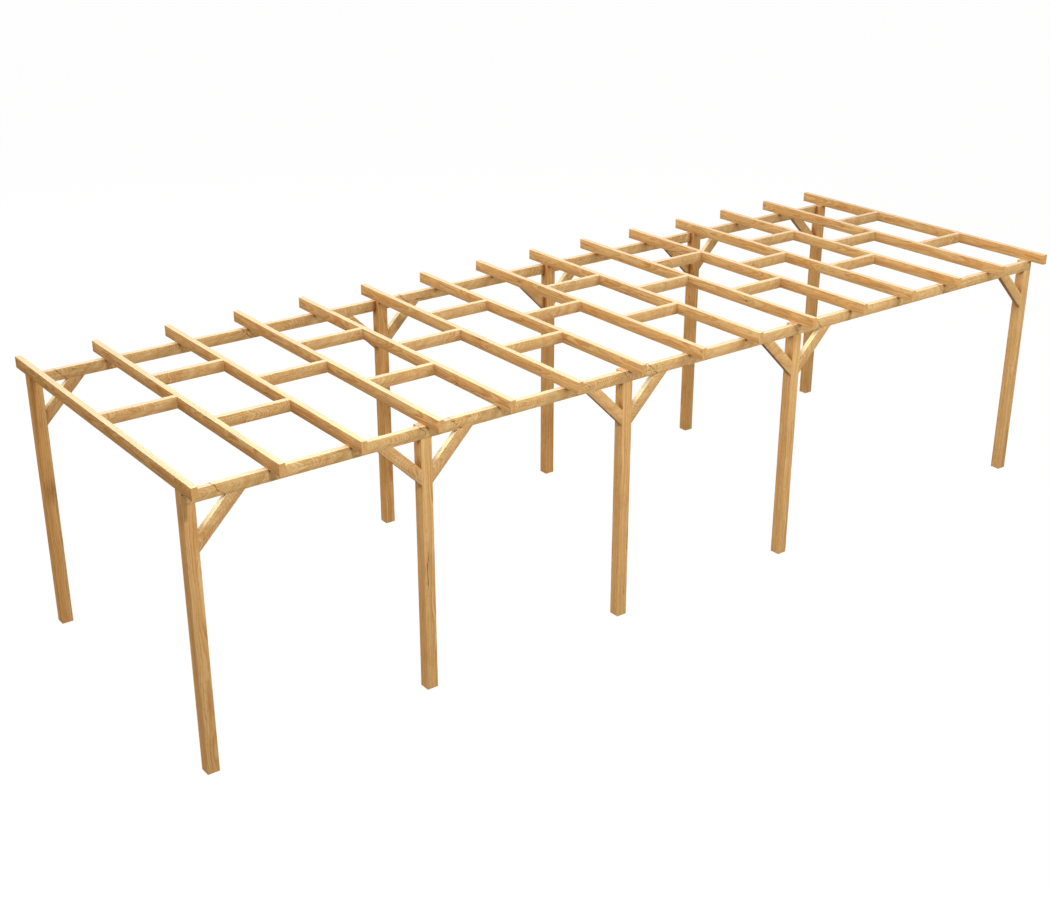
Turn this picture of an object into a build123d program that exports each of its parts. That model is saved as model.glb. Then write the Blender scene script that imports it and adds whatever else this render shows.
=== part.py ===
from build123d import *

import os
from math import sqrt

os.makedirs("parts", exist_ok=True)

# A long free-standing pergola of square posts, two rows of beams and a flat roof of rafters.
# Millimetres. +X runs along the length, +Y from the front row of posts to the rear row, +Z up.
# The origin is on the ground under the middle of the roof.
# The plan turns onto itself: the front row has its long bay at the right end, the rear row at the left.

# Posts: square, with the outer half cut away at the top as a seat for the beam.
post_width = 100
seat_height = 2240              # ground to the seat, which is the underside of the beams
row_depth = 2970                # outside of the front posts to outside of the rear posts

# Beams: on edge in the seats, flush with the outer faces of the posts.
beam_thickness = 50
beam_depth = 100

# Rafters: on edge across both beams, counted from the left end.
rafter_count = 15
rafter_spacing = 680
rafter_thickness = 50
rafter_depth = 100
front_overhang = 175            # past the outside of the front posts
rear_overhang = 205             # past the outside of the rear posts

# Knee braces: mitred bars in the plane of the beam, at 45 degrees.
brace_reach = 390               # from the corner to the brace's far edge, along the post and the beam
brace_depth = 100

# Noggings: short bars between the rafters, flush with their tops.
nogging_thickness = 50
nogging_depth = 100
outer_rows_apart = 1135         # middle of the front row of noggings to middle of the rear row

# The rafters that have a post under them.
front_stations = (1, 4, 7, 10, 15)
rear_stations = (1, 6, 9, 12, 15)

length = (rafter_count - 1) * rafter_spacing + rafter_thickness
rafter_length = front_overhang + row_depth + rear_overhang
beam_top = seat_height + beam_depth
roof_top = beam_top + rafter_depth
tongue = post_width - beam_thickness

left_end = -length / 2
front_end = -rafter_length / 2
front_face = front_end + front_overhang
rear_face = front_face + row_depth


def bar(x, y, z, size_x, size_y, size_z):
    """A square-cut bar whose lowest corner is at x, y, z."""
    return Pos(x, y, z) * Box(size_x, size_y, size_z, align=(Align.MIN, Align.MIN, Align.MIN))


def rafter_left(station):
    """The left face of a rafter."""
    return left_end + (station - 1) * rafter_spacing


def post_left(station, flush_side):
    """The left face of the post under a rafter. On flush_side, -1 left or +1 right, their faces are flush."""
    if flush_side > 0:
        return rafter_left(station) + rafter_thickness - post_width
    return rafter_left(station)


def beam_joint(station, flush_side):
    """Where two beams meet over a post: at the face of the rafter that is away from the flush side."""
    if flush_side > 0:
        return rafter_left(station)
    return rafter_left(station) + rafter_thickness


def post(x, outer_face, inward):
    """A post with its beam seat. inward is +1 for the front row and -1 for the rear row."""
    low_y = min(outer_face, outer_face + inward * post_width)
    tongue_y = outer_face + inward * beam_thickness
    shaft = bar(x, low_y, 0, post_width, post_width, seat_height)
    top = bar(x, min(tongue_y, tongue_y + inward * tongue), seat_height, post_width, tongue, beam_depth)
    return shaft + top


def brace(corner_x, y, along):
    """A knee brace in the corner under a beam. along is +1 where it leaves the post to the right."""
    mitre = brace_depth * sqrt(2)
    outline = [
        (corner_x, y, seat_height - brace_reach),
        (corner_x + along * brace_reach, y, seat_height),
        (corner_x + along * (brace_reach - mitre), y, seat_height),
        (corner_x, y, seat_height - brace_reach + mitre),
    ]
    face = make_face(Polyline(*outline, close=True))
    return extrude(face, amount=beam_thickness, dir=(0, 1, 0))


def nogging(bay, y):
    """A nogging between rafter number bay and the next one, with its front face at y."""
    x = rafter_left(bay) + rafter_thickness
    clear = rafter_spacing - rafter_thickness
    return bar(x, y, roof_top - nogging_depth, clear, nogging_thickness, nogging_depth)


def save(solids, name):
    """Write one named piece, or several like pieces that don't touch."""
    export_step(Compound(children=solids) if len(solids) > 1 else solids[0], f"parts/{name}.step")


def build_row(row, stations, flush_side, outer_face, inward):
    """One row of posts with its beams and knee braces. The end posts are flush with the end rafters."""
    first, *inner, last = stations
    posts = [post_left(first, -1)] + [post_left(s, flush_side) for s in inner] + [post_left(last, 1)]
    beam_y = min(outer_face, outer_face + inward * beam_thickness)
    for number, x in enumerate(posts, 1):
        save([post(x, outer_face, inward)], f"{row}_post_{number}")

    ends = [left_end] + [beam_joint(s, flush_side) for s in inner] + [left_end + length]
    for number, (start, stop) in enumerate(zip(ends, ends[1:]), 1):
        save([bar(start, beam_y, seat_height, stop - start, beam_thickness, beam_depth)],
             f"{row}_beam_{number}")

    for number, (left, right) in enumerate(zip(posts, posts[1:]), 1):
        save([brace(left + post_width, beam_y, 1), brace(right, beam_y, -1)], f"{row}_braces_{number}")


build_row("front", front_stations, 1, front_face, 1)
build_row("rear", rear_stations, -1, rear_face, -1)

for station in range(1, rafter_count + 1):
    save([bar(rafter_left(station), front_end, beam_top, rafter_thickness, rafter_length, rafter_depth)],
         f"rafter_{station:02d}")

# Odd bays have one nogging, with its front face on the centre line of the posts.
# Even bays have two, set evenly about that line.
centre_line = (front_face + rear_face) / 2
front_row_y = centre_line - outer_rows_apart / 2 - nogging_thickness / 2
rear_row_y = centre_line + outer_rows_apart / 2 - nogging_thickness / 2
odd_bays = range(1, rafter_count, 2)
even_bays = range(2, rafter_count, 2)
save([nogging(bay, centre_line) for bay in odd_bays], "middle_noggings")
save([nogging(bay, front_row_y) for bay in even_bays], "front_noggings")
save([nogging(bay, rear_row_y) for bay in even_bays], "rear_noggings")
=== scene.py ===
import math
import random

import bpy
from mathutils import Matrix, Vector


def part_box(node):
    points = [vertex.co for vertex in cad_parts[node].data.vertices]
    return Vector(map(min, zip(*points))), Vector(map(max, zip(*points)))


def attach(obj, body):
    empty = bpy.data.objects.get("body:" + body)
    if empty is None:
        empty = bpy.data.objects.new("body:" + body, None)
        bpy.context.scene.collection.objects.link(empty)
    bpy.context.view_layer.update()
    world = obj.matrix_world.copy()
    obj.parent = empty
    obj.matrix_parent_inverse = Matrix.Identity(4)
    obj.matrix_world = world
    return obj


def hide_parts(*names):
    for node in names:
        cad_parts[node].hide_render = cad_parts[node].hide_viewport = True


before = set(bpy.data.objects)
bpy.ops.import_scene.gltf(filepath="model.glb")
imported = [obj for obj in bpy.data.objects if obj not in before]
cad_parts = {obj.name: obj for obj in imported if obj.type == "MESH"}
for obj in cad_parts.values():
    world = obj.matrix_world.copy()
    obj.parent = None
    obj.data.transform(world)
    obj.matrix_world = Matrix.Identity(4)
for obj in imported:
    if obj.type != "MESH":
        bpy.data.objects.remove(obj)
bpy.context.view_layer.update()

# ---------------------------------------------------------------- sizes, in metres

# These are read from the frame.
front_post_low, front_post_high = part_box("front_post_1")
rear_post_low, rear_post_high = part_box("rear_post_1")
beam_low, beam_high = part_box("front_beam_1")
rafter_low, rafter_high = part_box("rafter_01")

ground = front_post_low.z
seat = beam_low.z
beam_depth = beam_high.z - beam_low.z
beam_thickness = beam_high.y - beam_low.y
brace_depth = beam_depth        # the braces are cut from the same timber as the beams
rafter_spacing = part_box("rafter_02")[0].x - rafter_low.x
rafter_thickness = rafter_high.x - rafter_low.x
nogging_length = rafter_spacing - rafter_thickness

# How many timbers there are, and how their edges are finished.
posts_in_row = 5
beams_in_row = posts_in_row - 1
rafter_count = 15
arris = 0.0010                  # how far the long edges are eased
smooth_angle = math.radians(50)     # faces that meet at less than this are shaded as one

ACROSS = Vector((1, 0, 0))
BACK = Vector((0, 1, 0))
UP = Vector((0, 0, 1))


# ---------------------------------------------------------------- shader maths

class Value:
    """What comes out of a shader node. It takes part in Python arithmetic, and each sum adds its Math
    node. A Value without a socket stands for the whole tree, and only adds nodes to it."""

    def __init__(self, tree, socket=None):
        self.tree = tree
        self.socket = socket

    def node(self, kind, settings, sockets, output=0):
        """Adds one node. Its settings are set first, then its sockets, by name or number."""
        made = self.tree.nodes.new(kind)
        for name, setting in settings.items():
            setattr(made, name, setting)
        for name, value in sockets.items():
            if isinstance(value, Value):
                self.tree.links.new(value.socket, made.inputs[name])
            else:
                made.inputs[name].default_value = value
        return Value(self.tree, made.outputs[output]) if made.outputs else None

    def beside(self, output):
        """Another output of the same node."""
        return Value(self.tree, self.socket.node.outputs[output])

    def maths(self, operation, *values):
        return self.node("ShaderNodeMath", {"operation": operation}, dict(enumerate(values)))

    def __add__(self, other):
        return self.maths("ADD", self, other)

    def __radd__(self, other):
        return self.maths("ADD", other, self)

    def __sub__(self, other):
        return self.maths("SUBTRACT", self, other)

    def __rsub__(self, other):
        return self.maths("SUBTRACT", other, self)

    def __mul__(self, other):
        return self.maths("MULTIPLY", self, other)

    def __rmul__(self, other):
        return self.maths("MULTIPLY", other, self)

    def __truediv__(self, other):
        return self.maths("DIVIDE", self, other)

    def __abs__(self):
        return self.maths("ABSOLUTE", self)

    def at_most(self, other):
        return self.maths("MINIMUM", self, other)

    def at_least(self, other):
        return self.maths("MAXIMUM", self, other)

    def part_of_turn(self):
        return self.maths("FRACT", self)

    def between(self, low, high):
        """0 below low, 1 above high, and a smooth slope between them."""
        return self.node("ShaderNodeMapRange", {"interpolation_type": "SMOOTHSTEP"},
                         {"Value": self, "From Min": low, "From Max": high})

    def scaled(self, *factors):
        """This vector stretched by three factors."""
        return self.node("ShaderNodeVectorMath", {"operation": "MULTIPLY"}, {0: self, 1: factors})

    def moved(self, shift):
        """This vector with another added."""
        return self.node("ShaderNodeVectorMath", {"operation": "ADD"}, {0: self, 1: shift})

    def length(self):
        """The length of this vector."""
        return self.node("ShaderNodeVectorMath", {"operation": "LENGTH"}, {0: self},
                         output="Value")

    def part(self, axis):
        """One part of this vector, by the name of its axis."""
        return self.node("ShaderNodeSeparateXYZ", {}, {"Vector": self}, output=axis)

    def noise(self, scale, detail=2.0):
        """Plain noise at this place, from 0 to 1. The Color beside it holds three such numbers."""
        return self.node("ShaderNodeTexNoise", {}, {"Vector": self, "Scale": scale, "Detail": detail})

    def stain_over(self, colour, stain):
        """A colour with this share of a stain laid over it. The node's colour sockets go by number,
        because others have the same names."""
        return self.node("ShaderNodeMix", {"data_type": "RGBA"}, {0: self, 6: colour, 7: stain}, output=2)


def empty_tree(holder):
    """The nodes of a material or a world, switched on and cleared."""
    holder.use_nodes = True
    holder.node_tree.nodes.clear()
    return Value(holder.node_tree)


def plain(*colour):
    """A plain opaque colour, from its red, green and blue."""
    return (*colour, 1.0)


def toned(colour, shares):
    """A colour with only these shares of its red, green and blue."""
    return plain(*(part * share for part, share in zip(colour, shares)))


# ---------------------------------------------------------------- oiled softwood

# How much of the late wood's red, green and blue is left in each kind of dark mark.
knot_tone = (0.32, 0.32, 0.32)
check_tone = (0.22, 0.22, 0.22)
# The colour of the painted shade in the corners of the joints.
corner_shade_tone = (0.70, 0.42, 0.20)
split_tone = (0.50, 0.42, 0.35)

# The colours that the faces turned to the sky go over to: partly sun-bleaching, partly painted light on
# the tops.
cool_bleached_lit_top = plain(0.93, 0.82, 0.62)
warm_bleached_lit_top = plain(0.98, 0.86, 0.50)

split_apart = 1.75              # from one dark split in a beam to the next
split_from_end = 0.27           # from a beam's left end to its first split


def grown(place, wander, figure):
    """A place in the log as the tree grew: the heart strays slowly, and the fibres ripple round it."""
    centred = (-0.5, -0.5, -0.5)
    stray = place.scaled(3.0, 3.0, 1.0).noise(1.4, 1.5).beside("Color").moved(centred)
    ripple = place.scaled(1.0, 1.0, 0.35).noise(22.0, 4.0).beside("Color").moved(centred)
    return place.moved(stray.scaled(wander, wander, 0.0)).moved(ripple.scaled(figure, figure, 0.0))


def knots_in(log_place, share):
    """Sparse knots and the halo round each. share is how many of the possible knots there are."""
    distance = log_place.node("ShaderNodeTexVoronoi", {"feature": "F1"},
                              {"Vector": log_place.scaled(4.2, 4.2, 2.1), "Scale": 1.0})
    draw = distance.node("ShaderNodeSeparateColor", {}, {"Color": distance.beside("Color")})
    here = draw.between(1.0 - share, 1.0 - share + 0.02)
    knot = (1 - distance.between(0.045, 0.075)) * here
    halo = (1 - distance.between(0.05, 0.30)) * here
    return knot, halo


def years_at(place, log_place, ring, taper, halo):
    """How many years' rings lie between the heart and a place. The rings flow round the knots."""
    across = log_place.scaled(1.0, 1.0, 0.0).length()
    drift = (place.noise(5.0, 3.0) - 0.5) * 0.25
    return (across + (place.part("Z") + drift) * taper) / ring + halo * 2.2


def late_wood(years):
    """Late wood darkens through each year and ends sharply."""
    season = years.part_of_turn()
    return season.between(0.25, 0.92) * (1 - season.between(0.92, 1.0))


def good_and_bad_years(years):
    """Some years' growth is darker than others'."""
    change = years.node("ShaderNodeTexNoise", {"noise_dimensions": "1D"},
                        {"W": years, "Scale": 0.42, "Detail": 2.0})
    return change.between(0.35, 0.68)


def drying_checks(place, log_place):
    """Short hairline cracks along the grain, in a few spots."""
    off_line = abs(log_place.scaled(38.0, 38.0, 1.1).noise(1.0, 1.0) - 0.5)
    spot = place.scaled(6.0, 6.0, 2.4).noise(1.0, 1.0).between(0.60, 0.66)
    return (1 - off_line.between(0.004, 0.011)) * spot


def painted_corner_shade(skyward):
    """Painted shade in the corners of the joints, where ambient occlusion finds them hemmed in: less of
    it on top, and none at the feet of the posts.
    """
    openness = skyward.node("ShaderNodeAmbientOcclusion", {"samples": 8}, {"Distance": 0.08},
                            output="AO")
    height = skyward.node("ShaderNodeTexCoord", {}, {}, output="Object").part("Z")
    off_ground = height.between(ground + 0.2, ground + 0.5)
    return (1 - openness.between(0.50, 0.94)) * off_ground * (1 - skyward * 0.7)


def cross_splits(place, apart):
    """Ragged dark splits that slant across the timber, one in each length of apart."""
    off_split = ((place.part("Z") / apart).part_of_turn() - 0.5) * apart
    slant = place.part("X") * 0.9
    wobble = (place.noise(26.0, 4.0) - 0.5) * 0.07
    broken = place.noise(30.0).between(0.34, 0.42)
    return (1 - abs(off_split + slant + wobble).between(0.0025, 0.0080)) * broken


def softwood(name, straw, honey, umber, ring, wander, knots, taper=0.0, figure=0.008, corner_shade_depth=0.0,
             bleach_and_light=0.30, bleached_lit_top=cool_bleached_lit_top, oil=0.26, split_every=0.0):
    """Oiled, planed softwood, solid through and through. The piece's own "grain" attribute gives each
    point's place in its log: X and Y across the log from its heart, Z along it, in metres. Its
    "skyward" attribute is 1 on the faces turned to the sky and 0 on upright and hanging ones.
    straw, honey and umber are the colours of early wood, heartwood streaks and late wood. ring is the
    width of a year's growth, wander how far the heart strays, knots the share of knots that show,
    taper how fast the rings run out along the timber, figure how far the fibres ripple and
    corner_shade_depth how dark the painted shade in the corners of the joints is. bleach_and_light is
    how far the faces turned to the sky have gone over to the colour bleached_lit_top, partly as
    sun-bleaching and partly as painted light on the tops, and oil how glossy they are. split_every is
    how far apart the dark cross splits are, if any."""
    material = bpy.data.materials.new(name)
    start = empty_tree(material)

    place = start.node("ShaderNodeAttribute", {"attribute_name": "grain"}, {}, output="Vector")
    skyward = start.node("ShaderNodeAttribute", {"attribute_name": "skyward"}, {}, output="Fac")
    log_place = grown(place, wander, figure)
    knot, halo = knots_in(log_place, knots)
    years = years_at(place, log_place, ring, taper, halo)
    late = late_wood(years)
    band = good_and_bad_years(years)
    check = drying_checks(place, log_place)

    # Patches where the rings show clearly, then fibres, streaks, short flecks and blotches of oil.
    clear = place.scaled(1.0, 1.0, 0.5).noise(7.0, 3.0).between(0.36, 0.64)
    fibre = log_place.scaled(420.0, 420.0, 7.0).noise(1.0)
    streak = log_place.scaled(85.0, 85.0, 1.3).noise(1.0).between(0.38, 0.70)
    fleck = log_place.scaled(75.0, 75.0, 26.0).noise(1.0, 3.0).between(0.54, 0.72)
    blotch = place.scaled(1.0, 1.0, 0.45).noise(9.0, 3.0).between(0.35, 0.70)

    # Each stain lies over the ones before it.
    stains = [(band * 0.85, honey),
              (late * (0.28 + clear * 0.32) + streak * 0.34, umber),
              (blotch * 0.30, honey),
              ((fibre - 0.35).at_least(0.0) * 0.8, umber),
              (fleck * 0.40, umber),
              (halo * 0.22, umber),
              (knot * 0.8, toned(umber, knot_tone)),
              (check * 0.75, toned(umber, check_tone)),
              # The tops paled: partly sun-bleaching, partly painted light.
              (skyward * bleach_and_light, bleached_lit_top),
              # Painted shade in the corners of the joints.
              (painted_corner_shade(skyward) * corner_shade_depth, toned(umber, corner_shade_tone))]
    if split_every:
        stains.append((cross_splits(place, split_every) * 0.8, toned(umber, split_tone)))
    timber = straw
    for share, stain in stains:
        timber = share.stain_over(timber, stain)

    relief = 0.5 * fibre + 0.35 * late - 1.6 * check - 0.3 * knot
    bump = start.node("ShaderNodeBump", {}, {"Strength": 0.35, "Distance": 0.0008, "Height": relief})
    dullness = 0.50 + 0.10 * fibre - 0.06 * late - 0.10 * knot
    wood = start.node("ShaderNodeBsdfPrincipled", {},
                      {"Base Color": timber, "Roughness": dullness, "Normal": bump,
                       "Specular IOR Level": 0.0, "Coat Weight": skyward * oil,
                       "Coat Roughness": 0.3, "Coat IOR": 2.0})
    start.node("ShaderNodeOutputMaterial", {}, {"Surface": wood})
    return material


front_post_wood = softwood("post timber", plain(0.730, 0.508, 0.236), plain(0.635, 0.379, 0.143),
                           plain(0.405, 0.171, 0.053), ring=0.0085, wander=0.05, knots=0.10,
                           figure=0.004, corner_shade_depth=0.7)
# The rear posts' wood is the front posts' wood painted darker: painted shade for the less light that
# reaches the rear row.
shaded_rear_post_wood = softwood("rear post timber", plain(0.672, 0.432, 0.179), plain(0.584, 0.322, 0.109),
                          plain(0.373, 0.145, 0.040), ring=0.0085, wander=0.05, knots=0.10,
                          figure=0.004, corner_shade_depth=0.7)
beam_wood = softwood("beam timber", plain(0.695, 0.502, 0.246), plain(0.575, 0.363, 0.140),
                     plain(0.372, 0.164, 0.052), ring=0.0115, wander=0.08, knots=0.16,
                     taper=0.38, figure=0.016, corner_shade_depth=0.9, split_every=split_apart)
rafter_wood = softwood("rafter timber", plain(0.645, 0.441, 0.200), plain(0.566, 0.316, 0.112),
                       plain(0.348, 0.146, 0.044), ring=0.0075, wander=0.07, knots=0.13,
                       taper=0.015)
# The braces' upper sides are paled much further, mostly as painted light, as if lit from above like the
# tops.
brace_wood = softwood("brace timber", plain(0.710, 0.488, 0.238), plain(0.594, 0.360, 0.139),
                      plain(0.402, 0.177, 0.057), ring=0.0105, wander=0.10, knots=0.08,
                      taper=0.32, figure=0.016, corner_shade_depth=0.9, bleach_and_light=0.85, bleached_lit_top=warm_bleached_lit_top,
                      oil=0.10)
nogging_wood = softwood("nogging timber", plain(0.648, 0.458, 0.224), plain(0.535, 0.328, 0.125),
                        plain(0.358, 0.160, 0.052), ring=0.0135, wander=0.12, knots=0.14,
                        taper=0.45, figure=0.018)


# ---------------------------------------------------------------- joinery

def clear_bench():
    """Nothing selected and object mode, ready for the next timber."""
    if bpy.context.mode != "OBJECT":
        bpy.ops.object.mode_set(mode="OBJECT")
    bpy.ops.object.select_all(action="DESELECT")


def on_bench(piece):
    """Only this piece selected and active."""
    clear_bench()
    piece.select_set(True)
    bpy.context.view_layer.objects.active = piece


def pick_edges(piece, wanted):
    """In edit mode, selects the edges for which wanted(one end, other end) holds."""
    bpy.ops.mesh.select_mode(type="EDGE")
    bpy.ops.mesh.select_all(action="DESELECT")
    bpy.ops.object.mode_set(mode="OBJECT")
    points = piece.data.vertices
    for edge in piece.data.edges:
        edge.select = wanted(*(points[i].co for i in edge.vertices))
    bpy.ops.object.mode_set(mode="EDIT")


def pick_faces(piece, wanted):
    """In edit mode, selects the faces for which wanted(middle, normal) holds."""
    bpy.ops.mesh.select_mode(type="FACE")
    bpy.ops.mesh.select_all(action="DESELECT")
    bpy.ops.object.mode_set(mode="OBJECT")
    for face in piece.data.polygons:
        face.select = wanted(face.center, face.normal)
    bpy.ops.object.mode_set(mode="EDIT")


def saw_off(place, outward):
    """In edit mode, saws through a place, drops what lies outward of it and closes the sawn end."""
    bpy.ops.mesh.select_all(action="SELECT")
    bpy.ops.mesh.bisect(plane_co=place, plane_no=outward, use_fill=True, clear_outer=True)


def sawn_block(name, low, high):
    """A block of timber between two corners, left in edit mode."""
    clear_bench()
    bpy.ops.mesh.primitive_cube_add(size=1, location=(low + high) / 2, scale=high - low)
    piece = bpy.context.active_object
    piece.name = name
    piece.data.name = name
    bpy.ops.object.transform_apply(location=True, rotation=True, scale=True)
    bpy.ops.object.mode_set(mode="EDIT")
    return piece


def ease(piece, along):
    """Takes the sharpness off the long edges, then leaves edit mode."""
    pick_edges(piece, lambda a, b: abs((b - a).normalized().dot(along)) > 0.999)
    bpy.ops.mesh.bevel(offset=arris, segments=2, affect="EDGES")
    bpy.ops.object.mode_set(mode="OBJECT")
    bpy.ops.object.shade_smooth_by_angle(angle=smooth_angle)


def copy_of(piece, name, shift):
    """Another timber like this one, with its own mesh, moved along."""
    on_bench(piece)
    bpy.ops.object.duplicate(linked=False)
    twin = bpy.context.active_object
    twin.name = name
    twin.data.name = name
    bpy.ops.transform.translate(value=shift)
    bpy.ops.object.transform_apply(location=True, rotation=True, scale=True)
    return twin


# Each kind of timber comes from its own hundred of numbered logs.
post_logs, beam_logs, rafter_logs, brace_logs, nogging_logs = range(100, 600, 100)
log_length = 60                 # metres of each log to cut from


def place_in_log(piece, along, face_across, number, heart, crown=0, split_at=None):
    """Writes where each corner of a timber lay in its log. heart is the log's heart seen from the
    timber's middle: across its face, then through it. Every number gives another stretch of log.
    crown is 1 where every timber of a kind lies the same way round, and 0 where they do not.
    split_at is where a cross split falls, from the timber's middle."""
    log = random.Random(number)
    through = along.cross(face_across)
    points = [v.co for v in piece.data.vertices]
    middle = sum(points, Vector()) / len(points)
    either_way = log.choice((-1, 1))
    turned = crown or either_way
    heart_across = heart[0] * log.uniform(0.6, 1.4)
    heart_through = heart[1] * log.uniform(0.8, 1.3)
    start = log.uniform(0, log_length)
    if split_at is not None:
        start = (round(start / split_apart) + 0.5) * split_apart - split_at
    grain = piece.data.attributes.new("grain", "FLOAT_VECTOR", "POINT")
    for point, v in zip(points, grain.data):
        away = point - middle
        v.vector = (away.dot(face_across) - heart_across,
                    away.dot(through) - heart_through,
                    turned * away.dot(along) + start)


def turned_to_sky(normal):
    """1 for level tops and for the upper sides of the braces, 0 for upright and hanging faces, and
    between the two for an eased edge."""
    return min(1.0, max(0.0, normal.z * 2 - 0.4))


def finish_timber(piece, wood, slot, *nodes):
    """Marks the faces turned to the sky, gives a timber its wood and sets it in the frame."""
    skyward = piece.data.attributes.new("skyward", "FLOAT", "FACE")
    for face, mark in zip(piece.data.polygons, skyward.data):
        mark.value = turned_to_sky(face.normal)
    piece.data.materials.clear()
    piece.data.materials.append(wood)
    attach(piece, "root")
    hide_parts(*nodes)


# ---------------------------------------------------------------- posts

def model_post(name, low, high, seat_side):
    """A square post whose outer half is cut away at the top as a seat for the beam. seat_side is -1
    where the outer half is the front one, and 1 where it is the rear one."""
    post = sawn_block(name, low, Vector((high.x, high.y, seat)))
    tongue_y = low.y + beam_thickness if seat_side < 0 else high.y - beam_thickness
    bpy.ops.mesh.select_all(action="SELECT")
    bpy.ops.mesh.bisect(plane_co=(0, tongue_y, 0), plane_no=(0, 1, 0))
    pick_faces(post, lambda middle, normal: normal.z > 0.9 and (middle.y - tongue_y) * seat_side < 0)
    bpy.ops.mesh.extrude_region_move(TRANSFORM_OT_translate={"value": (0, 0, high.z - seat)})
    ease(post, UP)
    return post


def row_of_posts(row, low, high, seat_side):
    """The posts of one row. The first is modelled and the others are copies of it."""
    posts = [model_post(f"{row}_post_1_timber", low, high, seat_side)]
    for number in range(2, posts_in_row + 1):
        name = f"{row}_post_{number}"
        posts.append(copy_of(posts[0], f"{name}_timber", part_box(name)[0] - low))
    return posts


front_posts = row_of_posts("front", front_post_low, front_post_high, seat_side=-1)
rear_posts = row_of_posts("rear", rear_post_low, rear_post_high, seat_side=1)
for number, post in enumerate(front_posts + rear_posts):
    place_in_log(post, UP, ACROSS, post_logs + number, heart=(0.055, 0.075))
    # The rear posts get the darker copy of the wood, which is painted shade.
    wood = shaded_rear_post_wood if post in rear_posts else front_post_wood
    finish_timber(post, wood, "post_timber", post.name.removesuffix("_timber"))


# ---------------------------------------------------------------- beams

beam_nodes = [f"{row}_beam_{bay + 1}" for row in ("front", "rear") for bay in range(beams_in_row)]
for number, node_name in enumerate(beam_nodes):
    low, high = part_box(node_name)
    beam = sawn_block(f"{node_name}_timber", low, high)
    ease(beam, ACROSS)
    place_in_log(beam, ACROSS, UP, beam_logs + number, heart=(0.012, 0.085), crown=1,
                 split_at=split_from_end - (high.x - low.x) / 2)
    finish_timber(beam, beam_wood, "beam_timber", node_name)


# ---------------------------------------------------------------- rafters

first_rafter = sawn_block("rafter_01_timber", rafter_low, rafter_high)
ease(first_rafter, BACK)
rafters = [first_rafter]
for number in range(2, rafter_count + 1):
    node_name = f"rafter_{number:02d}"
    rafters.append(copy_of(first_rafter, f"{node_name}_timber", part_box(node_name)[0] - rafter_low))
for number, rafter in enumerate(rafters):
    place_in_log(rafter, BACK, UP, rafter_logs + number, heart=(0.015, 0.080))
    finish_timber(rafter, rafter_wood, "rafter_timber", rafter.name.removesuffix("_timber"))


# ---------------------------------------------------------------- knee braces

def up_and(along):
    """The way up a brace that rises to the right, where along is 1, or to the left, where it is -1."""
    return Vector((along, 0, 1)).normalized()


def model_brace(name, post_x, low_y, along, reach):
    """A mitred knee brace at 45 degrees between the side of a post, at post_x, and the underside of a
    beam, rising along. reach is how far it comes out along the beam, and how far down the post."""
    underside = Vector((post_x + along * reach / 2, low_y + beam_thickness / 2, seat - reach / 2))
    centre = underside + up_and(-along) * brace_depth / 2
    uncut_length = reach * 2
    half = Vector((uncut_length, beam_thickness, brace_depth)) / 2
    brace = sawn_block(name, centre - half, centre + half)
    bpy.ops.mesh.select_all(action="SELECT")
    bpy.ops.transform.rotate(value=along * math.pi / 4, orient_axis="Y", center_override=centre)
    saw_off((post_x, 0, 0), (-along, 0, 0))
    saw_off((0, 0, seat), (0, 0, 1))
    ease(brace, up_and(along))
    return brace


brace_number = 0
brace_nodes = [f"{row}_braces_{bay + 1}" for row in ("front", "rear") for bay in range(beams_in_row)]
for node_name in brace_nodes:
    low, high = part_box(node_name)
    for along, post_x, side in ((1, low.x, "left"), (-1, high.x, "right")):
        brace = model_brace(f"{node_name}_{side}", post_x, low.y, along, reach=high.z - low.z)
        place_in_log(brace, up_and(along), up_and(-along), brace_logs + brace_number,
                     heart=(0.02, 0.075))
        finish_timber(brace, brace_wood, "brace_timber", node_name)
        brace_number += 1


# ---------------------------------------------------------------- noggings

def row_of_noggings(node_name, bays):
    """The noggings of one node, in these bays. The first is modelled and the others are copies."""
    low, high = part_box(node_name)
    row = [sawn_block(f"{node_name}_{bays[0]}", low, Vector((low.x + nogging_length, high.y, high.z)))]
    ease(row[0], ACROSS)
    for bay in bays[1:]:
        start = rafter_low.x + (bay - 1) * rafter_spacing + rafter_thickness
        row.append(copy_of(row[0], f"{node_name}_{bay}", (start - low.x, 0, 0)))
    return row


odd_bays = range(1, rafter_count, 2)
even_bays = range(2, rafter_count, 2)
nogging_number = 0
for node_name, bays in (("front_noggings", even_bays), ("middle_noggings", odd_bays),
                        ("rear_noggings", even_bays)):
    for nogging in row_of_noggings(node_name, bays):
        place_in_log(nogging, ACROSS, UP, nogging_logs + nogging_number, heart=(0.01, 0.07), crown=1)
        finish_timber(nogging, nogging_wood, "nogging_timber", node_name)
        nogging_number += 1


# ---------------------------------------------------------------- floor and backdrop

def seen_or_mirrored(start):
    """1 where the eye looks, straight or by way of gloss or glass, and 0 where light only bounces."""
    looked = start.node("ShaderNodeLightPath", {}, {}, output="Is Camera Ray")
    glossed = looked.beside("Is Glossy Ray")
    passed = looked.beside("Is Transmission Ray")
    return (looked + glossed + passed).at_most(1.0)


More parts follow.
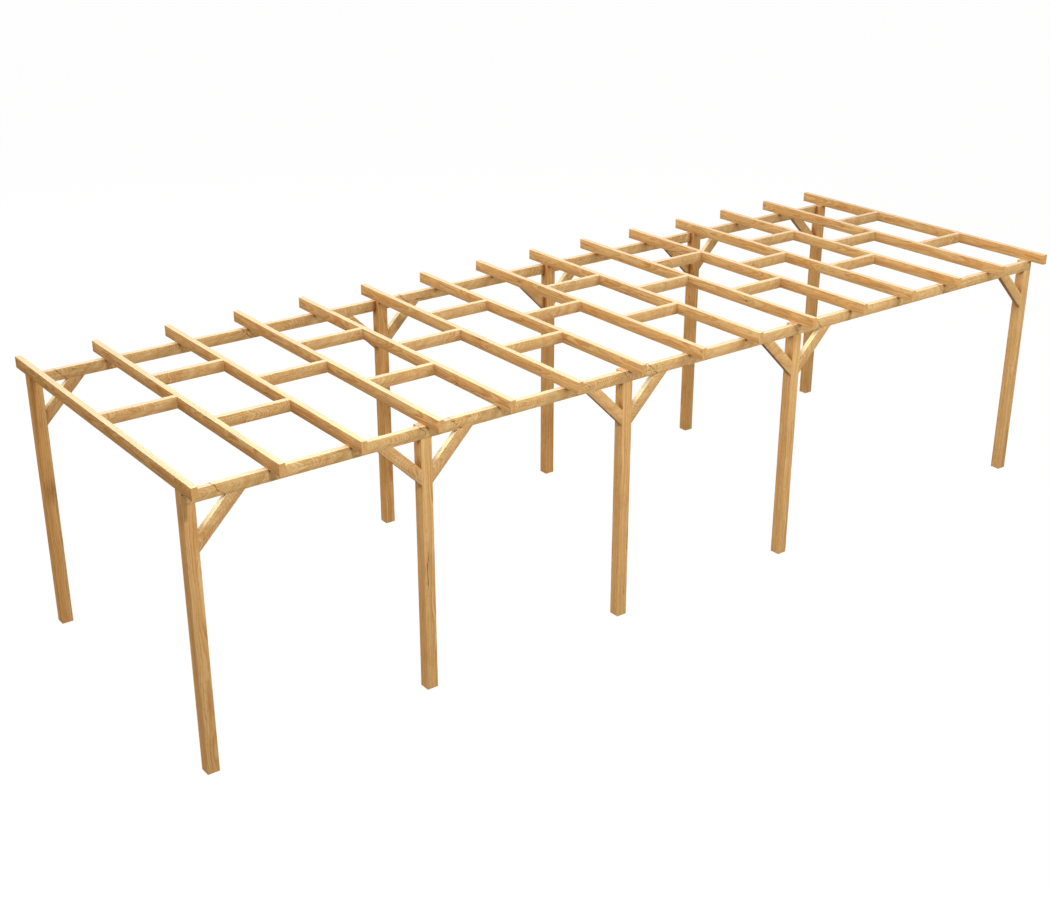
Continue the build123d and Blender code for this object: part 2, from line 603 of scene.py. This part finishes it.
def pale_floor():
    """White to the eye, with only a trace of shadow, and dark to the light that bounces up from it."""
    material = bpy.data.materials.new("pale floor")
    start = empty_tree(material)
    seen = seen_or_mirrored(start)
    chalk = seen.stain_over(plain(0.16, 0.12, 0.08), plain(0.9, 0.9, 0.9))
    matt = start.node("ShaderNodeBsdfDiffuse", {}, {"Color": chalk})
    glow = start.node("ShaderNodeEmission", {}, {"Color": plain(1, 1, 1), "Strength": 1.0})
    mixed = start.node("ShaderNodeMixShader", {}, {0: seen * 0.97, 1: matt, 2: glow})
    start.node("ShaderNodeOutputMaterial", {}, {"Surface": mixed})
    return material


def studio():
    """A dim, warm dome over the timber that shows as plain white behind it."""
    world = bpy.data.worlds.new("studio")
    start = empty_tree(world)
    dome = start.node("ShaderNodeBackground", {}, {"Color": plain(1.0, 0.95, 0.87), "Strength": 0.62})
    backdrop = start.node("ShaderNodeBackground", {}, {"Color": plain(1, 1, 1), "Strength": 1.0})
    either = start.node("ShaderNodeMixShader", {},
                        {0: seen_or_mirrored(start), 1: dome, 2: backdrop})
    start.node("ShaderNodeOutputWorld", {}, {"Surface": either})
    return world


floor_size = 160
clear_bench()
bpy.ops.mesh.primitive_plane_add(size=floor_size, location=(0, 0, ground))
floor = bpy.context.active_object
floor.name = "floor"
floor.data.materials.append(pale_floor())

bpy.context.scene.world = studio()


# ---------------------------------------------------------------- lamps and camera

clear_day = (0.94, 1.0, 1.04)
warm_day = (1.0, 0.97, 0.90)
evening = (1.0, 0.88, 0.74)
soft_day = (1.0, 0.98, 0.88)


def softbox(name, place, target, width, height, power, tint=clear_day):
    """A rectangular lamp at a place, turned towards a target. The camera does not see it."""
    clear_bench()
    bpy.ops.object.light_add(type="AREA", location=place)
    lamp = bpy.context.active_object
    lamp.name = name
    lamp.data.shape = "RECTANGLE"
    lamp.data.size = width
    lamp.data.size_y = height
    lamp.data.energy = power
    lamp.data.color = tint
    lamp.rotation_euler = (Vector(target) - Vector(place)).to_track_quat("-Z", "Y").to_euler()
    lamp.visible_camera = False


# Two small lamps in front throw the rafters' shadows on the beam and the posts.
softbox("key_lamp", (-4.36, -4.8, 6.3), (-4.36, 0.0, 1.6), width=0.35, height=0.35, power=192)
softbox("second_lamp", (-0.85, -5.9, 4.75), (-0.85, 0.0, 1.6), width=0.5, height=0.5, power=65)

# Wider ones light the right end of the front, its shaded parts and the back.
softbox("right_lamp", (2.9, -5.0, 6.3), (2.9, 0.0, 1.6), width=3.0, height=1.5, power=225)
softbox("fill_lamp", (7.0, -9.0, 4.0), (2.0, 0.0, 1.6), width=6.0, height=4.0, power=216)
softbox("rear_lamp", (-8.0, 13.0, 11.0), (0.0, 0.0, 2.4), width=9.0, height=6.0, power=1080)

# The widest ones, in warmer tints, light the tops, the left sides and the far end.
softbox("top_lamp", (-2.5, 0.5, 8.5), (-0.5, 0.0, 2.4), width=14.0, height=5.0, power=350,
        tint=warm_day)
softbox("left_lamp", (-30.0, -2.0, 14.0), (0.0, 0.0, 2.4), width=16.0, height=10.0, power=1850,
        tint=evening)
softbox("far_lamp", (5.0, 14.0, 8.0), (0.0, 0.0, 2.4), width=24.0, height=8.0, power=620,
        tint=soft_day)

# The camera stands in front, out beyond the left end and above the roof. The angles are in degrees.
downward = 23.208
rightward = 36.993
bpy.ops.object.camera_add(location=(-8.73484, -10.715, 6.84261),
                          rotation=(math.radians(90 - downward), 0, math.radians(-rightward)))
camera = bpy.context.active_object
camera.data.lens = 52.942
camera.data.sensor_width = 36
bpy.context.scene.camera = camera

bpy.context.scene.view_settings.view_transform = "Standard"
